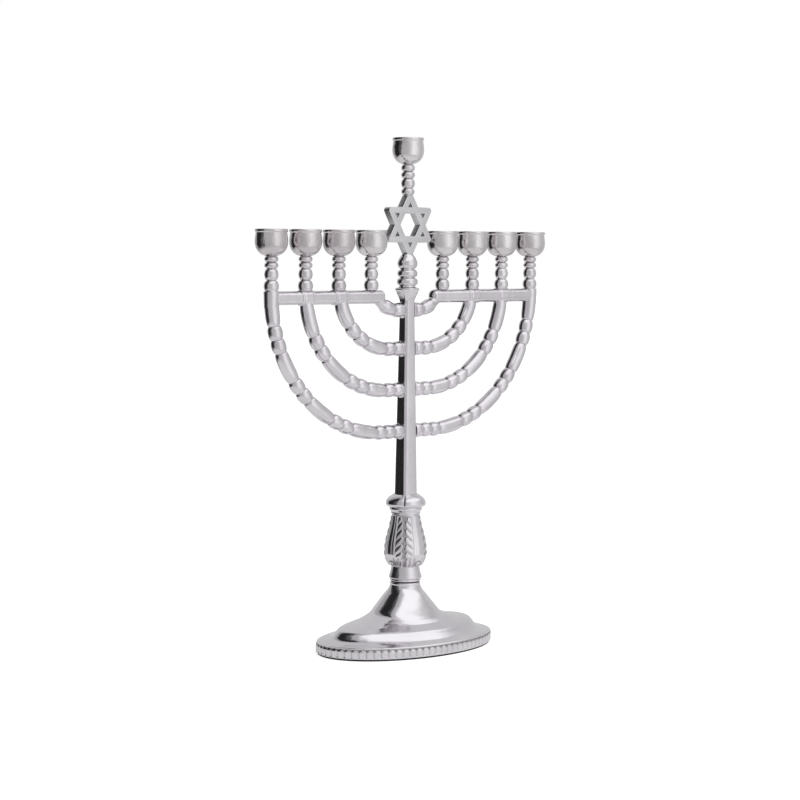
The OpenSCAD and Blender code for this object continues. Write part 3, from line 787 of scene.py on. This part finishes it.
def plate(name, bright, shade, rough, wave, grain, rings=0.0, hollow=None):
    """Bright plated metal: a faint colour drift, soft waves in the casting, fine polishing grain, and, in
    hollows, a darker tone painted from the mesh's darkening attribute: oxide, and painted shade."""
    material, tree, shader = new_material(name)
    coords = tree.nodes.new("ShaderNodeTexCoord").outputs["Object"]
    drift = remap(tree, noise(tree, coords, DRIFT, 4), 0.35, 0.65, 0, 1)
    colour = mix_colour(tree, drift, bright, shade)
    # hollow is the colour of the painted darkening: oxide in hollows, and painted shade
    if hollow is not None:
        layer = tree.nodes.new("ShaderNodeAttribute")
        layer.attribute_name = "oxide_and_painted_shade"
        specks = remap(tree, noise(tree, coords, SPECKS, 2), 0.2, 0.8, 0.7, 1.2)
        depth = tree.nodes.new("ShaderNodeMath")
        depth.operation = "MULTIPLY"
        depth.use_clamp = True
        tree.links.new(layer.outputs["Fac"], depth.inputs[0])
        tree.links.new(specks, depth.inputs[1])
        colour = mix_colour(tree, depth.outputs[0], colour, hollow)
    tree.links.new(colour, shader.inputs["Base Color"])
    shader.inputs["Metallic"].default_value = 1.0
    smear = noise(tree, stretched(tree, coords, (1, 1, 0.25)), SMEAR, 5, 0.6)
    tree.links.new(remap(tree, smear, 0.3, 0.7, rough * 0.7, rough * 1.35), shader.inputs["Roughness"])
    normal = bump(tree, noise(tree, coords, WAVES, 2), wave, 0.0014)
    normal = bump(tree, noise(tree, coords, RIPPLES, 2), wave, 0.0007, normal)
    normal = bump(tree, noise(tree, coords, GRAIN, 2), grain, 0.00006, normal)
    if rings:
        lines = noise(tree, stretched(tree, coords, (0.02, 0.02, 1)), TURNING, 1)
        normal = bump(tree, lines, rings, 0.00005, normal)
    tree.links.new(normal, shader.inputs["Normal"])
    return material


def baize():
    material, tree, shader = new_material("baize")
    coords = tree.nodes.new("ShaderNodeTexCoord").outputs["Object"]
    fibres = noise(tree, coords, 1500, 6, 0.7)
    colour = mix_colour(tree, fibres, (0.004, 0.004, 0.005), (0.02, 0.02, 0.024))
    tree.links.new(colour, shader.inputs["Base Color"])
    shader.inputs["Roughness"].default_value = 0.95
    shader.inputs["Sheen Weight"].default_value = 0.25
    tree.links.new(bump(tree, fibres, 0.8, 0.0004), shader.inputs["Normal"])
    return material


def fibre():
    material, tree, shader = new_material("fibre")
    coords = tree.nodes.new("ShaderNodeTexCoord").outputs["Object"]
    mottle = noise(tree, coords, 900, 4)
    colour = mix_colour(tree, mottle, (0.006, 0.006, 0.007), (0.02, 0.019, 0.018))
    tree.links.new(colour, shader.inputs["Base Color"])
    tree.links.new(remap(tree, mottle, 0.3, 0.7, 0.55, 0.75), shader.inputs["Roughness"])
    tree.links.new(bump(tree, mottle, 0.3, 0.0002), shader.inputs["Normal"])
    return material


def zinc():
    material, tree, shader = new_material("zinc_steel")
    coords = tree.nodes.new("ShaderNodeTexCoord").outputs["Object"]
    spangle = noise(tree, coords, 350, 5, 0.65)
    colour = mix_colour(tree, spangle, (0.42, 0.43, 0.45), (0.6, 0.6, 0.6))
    tree.links.new(colour, shader.inputs["Base Color"])
    shader.inputs["Metallic"].default_value = 1.0
    tree.links.new(remap(tree, spangle, 0.3, 0.7, 0.28, 0.42), shader.inputs["Roughness"])
    thread = noise(tree, stretched(tree, coords, (0.05, 0.05, 1)), 1400, 1)
    tree.links.new(bump(tree, thread, 0.25, 0.0002), shader.inputs["Normal"])
    return material


# ---- camera, light and floor ---------------------------------------------------------------------

CAMERA_AZIMUTH = -41.0       # degrees; the left end of the row is nearer
CAMERA_DISTANCE = 1.2321     # level distance from the stem's axis
CAMERA_HEIGHT = 0.237
CAMERA_PITCH = -4.2
CAMERA_ROLL = 0.394
CAMERA_ASIDE = -0.0038       # how far right of the stem's axis the camera stands
LENS, SENSOR = 94.4, 36.0


def camera():
    a, e = math.radians(CAMERA_AZIMUTH), math.radians(CAMERA_PITCH)
    right = Vector((math.cos(a), math.sin(a), 0))
    level = Vector((-math.sin(a), math.cos(a), 0))
    look = level * math.cos(e) + Vector((0, 0, math.sin(e)))
    up = right.cross(look)
    roll = math.radians(CAMERA_ROLL)
    right, up = right * math.cos(roll) + up * math.sin(roll), up * math.cos(roll) - right * math.sin(roll)
    place = level * -CAMERA_DISTANCE + right * CAMERA_ASIDE + Vector((0, 0, CAMERA_HEIGHT))
    data = bpy.data.cameras.new("camera")
    data.lens, data.sensor_width = LENS, SENSOR
    data.clip_start, data.clip_end = 0.05, 50
    obj = bpy.data.objects.new("camera", data)
    bpy.context.scene.collection.objects.link(obj)
    turn = Matrix((right, up, -look)).transposed().to_4x4()
    obj.matrix_world = Matrix.Translation(place) @ turn
    bpy.context.scene.camera = obj


FLOOR_NEAR = 0.32            # radius of the part of the floor that the plated metal mirrors
FLOOR_WIDE = 9.0
FLOOR_LIFT = 0.22            # glow of the floor in the metal
FLOOR_GLOW = 0.75            # glow of the floor to the camera, to which it shows as plain white


def floor():
    """A wide pale floor: a disc under the object and, round it, a sheet that the metal doesn't mirror."""
    material, tree, shader = new_material("floor_paint")
    coords = tree.nodes.new("ShaderNodeTexCoord").outputs["Object"]
    tone = noise(tree, coords, 3, 2)
    paint_colour = mix_colour(tree, tone, (0.61, 0.61, 0.61), (0.63, 0.63, 0.63))
    tree.links.new(paint_colour, shader.inputs["Base Color"])
    shader.inputs["Roughness"].default_value = 0.9
    shader.inputs["Specular IOR Level"].default_value = 0.1
    shader.inputs["Emission Color"].default_value = (1, 1, 1, 1)
    seen = tree.nodes.new("ShaderNodeLightPath").outputs["Is Camera Ray"]
    tree.links.new(remap(tree, seen, 0, 1, FLOOR_LIFT, FLOOR_GLOW), shader.inputs["Emission Strength"])
    sides = 96
    t = angles(sides)
    ring = np.stack([np.cos(t), np.sin(t), np.zeros(sides)], 1)
    near = mesh_object("floor_near", ring * FLOOR_NEAR / MM, [tuple(range(sides))])
    wide = mesh_object("floor_wide", np.vstack([ring * FLOOR_NEAR, ring * FLOOR_WIDE]) / MM,
                       [(i, (i + 1) % sides, sides + (i + 1) % sides, sides + i) for i in range(sides)])
    wide.visible_glossy = False
    for obj in (near, wide):
        obj.data.materials.append(material)


def soft_light(name, place, size, radiance):
    """A square softbox at place, facing the object, which the plated metal doesn't mirror."""
    data = bpy.data.lights.new(name, "AREA")
    data.shape = "SQUARE"
    data.size = size
    data.energy = radiance * math.pi * size * size
    obj = bpy.data.objects.new(name, data)
    bpy.context.scene.collection.objects.link(obj)
    obj.visible_glossy = False
    obj.location = place
    obj.rotation_euler = (Vector((0, 0, 0.2)) - Vector(place)).to_track_quat("-Z", "Y").to_euler()


# Brightness of the tent's wall, by the angle from the camera, in degrees, to the camera's right
TENT_WALL = [(-180, 0.60), (-144, 0.60), (-138, 0.42), (-122, 0.40), (-117, 0.04), (-105, 0.02),
             (-76, 0.02), (-70, 0.08), (-53, 0.11), (-48, 0.46), (-14, 0.50), (0, 0.54), (14, 0.64),
             (27, 0.80), (41, 0.98), (60, 0.90), (82, 0.68), (100, 0.58), (115, 0.52), (142, 0.60),
             (180, 0.62)]
TENT_LID = math.radians(-75)     # the way, from the X axis, that the tent's bright lid leans
LID_EDGE = (-0.02, 0.24)         # the lid's soft edge, as how far a direction leans that way
LID_RISE = (0.45, 0.82)          # its lower edge, as how far a direction points up
TENT_TOP = 1.08                  # brightness of the lid
TENT_BELOW = 0.6                 # brightness below the floor
BELOW_EDGE = (-0.6, -0.4)


def studio():
    """A light tent with a bright lid, leaning to the front, and a dark opening on the left, and, to the
    camera, a white backdrop."""
    world = bpy.data.worlds.new("studio")
    bpy.context.scene.world = world
    world.use_nodes = True
    tree = world.node_tree
    tree.nodes.clear()

    def maths(operation, first, second=None):
        node = tree.nodes.new("ShaderNodeMath")
        node.operation = operation
        for socket, value in zip(node.inputs, (first, second)):
            if isinstance(value, (int, float)):
                socket.default_value = value
            elif value is not None:
                tree.links.new(value, socket)
        return node.outputs[0]

    def blend(value, low, high, start, stop):
        """Goes from start to stop, each a number or a node's output, as value goes from low to high."""
        node = tree.nodes.new("ShaderNodeMapRange")
        node.interpolation_type = "SMOOTHSTEP"
        for socket, number in zip(("From Min", "From Max"), (low, high)):
            node.inputs[socket].default_value = number
        for socket, number in (("To Min", start), ("To Max", stop)):
            if isinstance(number, (int, float)):
                node.inputs[socket].default_value = number
            else:
                tree.links.new(number, node.inputs[socket])
        tree.links.new(value, node.inputs["Value"])
        return node.outputs["Result"]

    direction = tree.nodes.new("ShaderNodeTexCoord").outputs["Generated"]
    split = tree.nodes.new("ShaderNodeSeparateXYZ")
    tree.links.new(direction, split.inputs[0])
    x, y, z = split.outputs
    # 0 opposite the camera, 0.5 towards it, 1 opposite again, turning to the camera's right
    toward = math.radians(CAMERA_AZIMUTH - 90)
    out = maths("ADD", maths("MULTIPLY", x, math.cos(toward)), maths("MULTIPLY", y, math.sin(toward)))
    aside = maths("SUBTRACT", maths("MULTIPLY", y, math.cos(toward)), maths("MULTIPLY", x, math.sin(toward)))
    around = maths("ADD", maths("DIVIDE", maths("ARCTAN2", aside, out), 2 * math.pi), 0.5)
    ramp = tree.nodes.new("ShaderNodeValToRGB")
    ramp.color_ramp.interpolation = "EASE"
    stops = ramp.color_ramp.elements
    while len(stops) < len(TENT_WALL):
        stops.new(0.5)
    for stop, (angle, level) in zip(stops, TENT_WALL):
        stop.position = (angle + 180) / 360
        stop.color = (level, level, level, 1)
    tree.links.new(around, ramp.inputs[0])
    leaning = maths("ADD", maths("MULTIPLY", x, math.cos(TENT_LID)), maths("MULTIPLY", y, math.sin(TENT_LID)))
    lid = maths("MULTIPLY", blend(leaning, *LID_EDGE, 0, 1), blend(z, *LID_RISE, 0, 1))
    above = blend(lid, 0, 1, ramp.outputs["Color"], TENT_TOP)
    tent = blend(z, *BELOW_EDGE, TENT_BELOW, above)

    glow = tree.nodes.new("ShaderNodeBackground")
    glow.inputs["Color"].default_value = (1, 1, 1, 1)
    tree.links.new(tent, glow.inputs["Strength"])
    backdrop = tree.nodes.new("ShaderNodeBackground")
    backdrop.inputs["Color"].default_value = (1, 1, 1, 1)
    path = tree.nodes.new("ShaderNodeLightPath")
    choose = tree.nodes.new("ShaderNodeMixShader")
    tree.links.new(path.outputs["Is Camera Ray"], choose.inputs[0])
    tree.links.new(glow.outputs[0], choose.inputs[1])
    tree.links.new(backdrop.outputs[0], choose.inputs[2])
    output = tree.nodes.new("ShaderNodeOutputWorld")
    tree.links.new(choose.outputs[0], output.inputs["Surface"])
    bpy.context.scene.view_settings.view_transform = "Standard"
    soft_light("overhead", (0.25, -0.35, 1.5), 1.1, 1.5)


# ---- the whole object ----------------------------------------------------------------------------

def place_piece(obj, body, slot, material, *nodes):
    """Gives a piece its material and body, and hides the CAD nodes that it stands for. The slot is not used.
    """
    obj.data.materials.clear()
    obj.data.materials.append(material)
    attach(obj, body)
    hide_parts(*nodes)


def dress_node(node, material):
    """A better material on a CAD node whose shape is right."""
    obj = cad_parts[node]
    obj.data.materials.clear()
    obj.data.materials.append(material)


def build():
    # cast_plate's hollow colour darkens its pieces' hollows, seams and inside: oxide there, and painted shade
    cast = plate("cast_plate", (0.87, 0.84, 0.88), (0.79, 0.77, 0.81), 0.13, 0.12, 0.10,
                 hollow=(0.26, 0.25, 0.25))
    smooth = plate("branch_plate", (0.86, 0.83, 0.87), (0.77, 0.74, 0.78), 0.15, 0.18, 0.12)
    beaded = plate("spindle_plate", (0.86, 0.84, 0.86), (0.72, 0.69, 0.72), 0.11, 0.15, 0.10, rings=0.2)
    turned = plate("turned_plate", (0.86, 0.84, 0.85), (0.68, 0.64, 0.66), 0.13, 0.38, 0.10, rings=0.2)
    satin = plate("satin_plate", (0.80, 0.79, 0.81), (0.74, 0.73, 0.75), 0.34, 0.03, 0.5)
    steel, felt, washer = zinc(), baize(), fibre()

    place_piece(foot_shell(), FOOT, "plated_cast", cast, "foot_shell")
    place_piece(foot_pad(), FOOT, "baize", felt, "foot_pad")
    dress_node("seam_washer", washer)
    for node in ("tie_rod", "clamp_washer", "clamp_nut", "branch_pins", "cup_studs", "finial_studs",
                 "centre_stud"):
        dress_node(node, steel)
    place_piece(neck_collar(), TOP, "plated_cast", smooth, "neck_collar")
    place_piece(leaf_knop(), TOP, "plated_cast", cast, "leaf_knop")
    place_piece(cushion_ring(), TOP, "plated_cast", cast, "cushion_ring")
    place_piece(stem(), TOP, "plated_cast", smooth, "stem")
    for side in SIDES:
        place_piece(rail(side), TOP, "plated_cast", smooth, f"{side}_rail")
        for place in PLACES:
            arm = branch(side, place)
            if place in COLLARED:
                arm = join(arm.name, [arm, collar(side, place)])
            if place == 4:
                arm = join(arm.name, [arm, upright(side)])
            place_piece(arm, TOP, "plated_cast", smooth, f"{side}_branch_{place}")
            post = spindle(f"{side}_spindle_{place}", SIDE_BEADS, f"{side}_spindle_{place}_visual")
            place_piece(post, TOP, "plated_turned", beaded, f"{side}_spindle_{place}")
            bowl = cup(f"{side}_cup_{place}", f"{side}_cup_{place}_visual")
            place_piece(bowl, TOP, "plated_turned", turned, f"{side}_cup_{place}")
    place_piece(finial(), TOP, "plated_turned", beaded, "finial")
    place_piece(star(), TOP, "plated_satin", satin, "star")
    post = spindle("centre_spindle", CENTRE_BEADS, "centre_spindle_visual")
    place_piece(post, TOP, "plated_turned", beaded, "centre_spindle")
    place_piece(cup("centre_cup", "centre_cup_visual"), TOP, "plated_turned", turned, "centre_cup")


camera()
floor()
studio()
build()
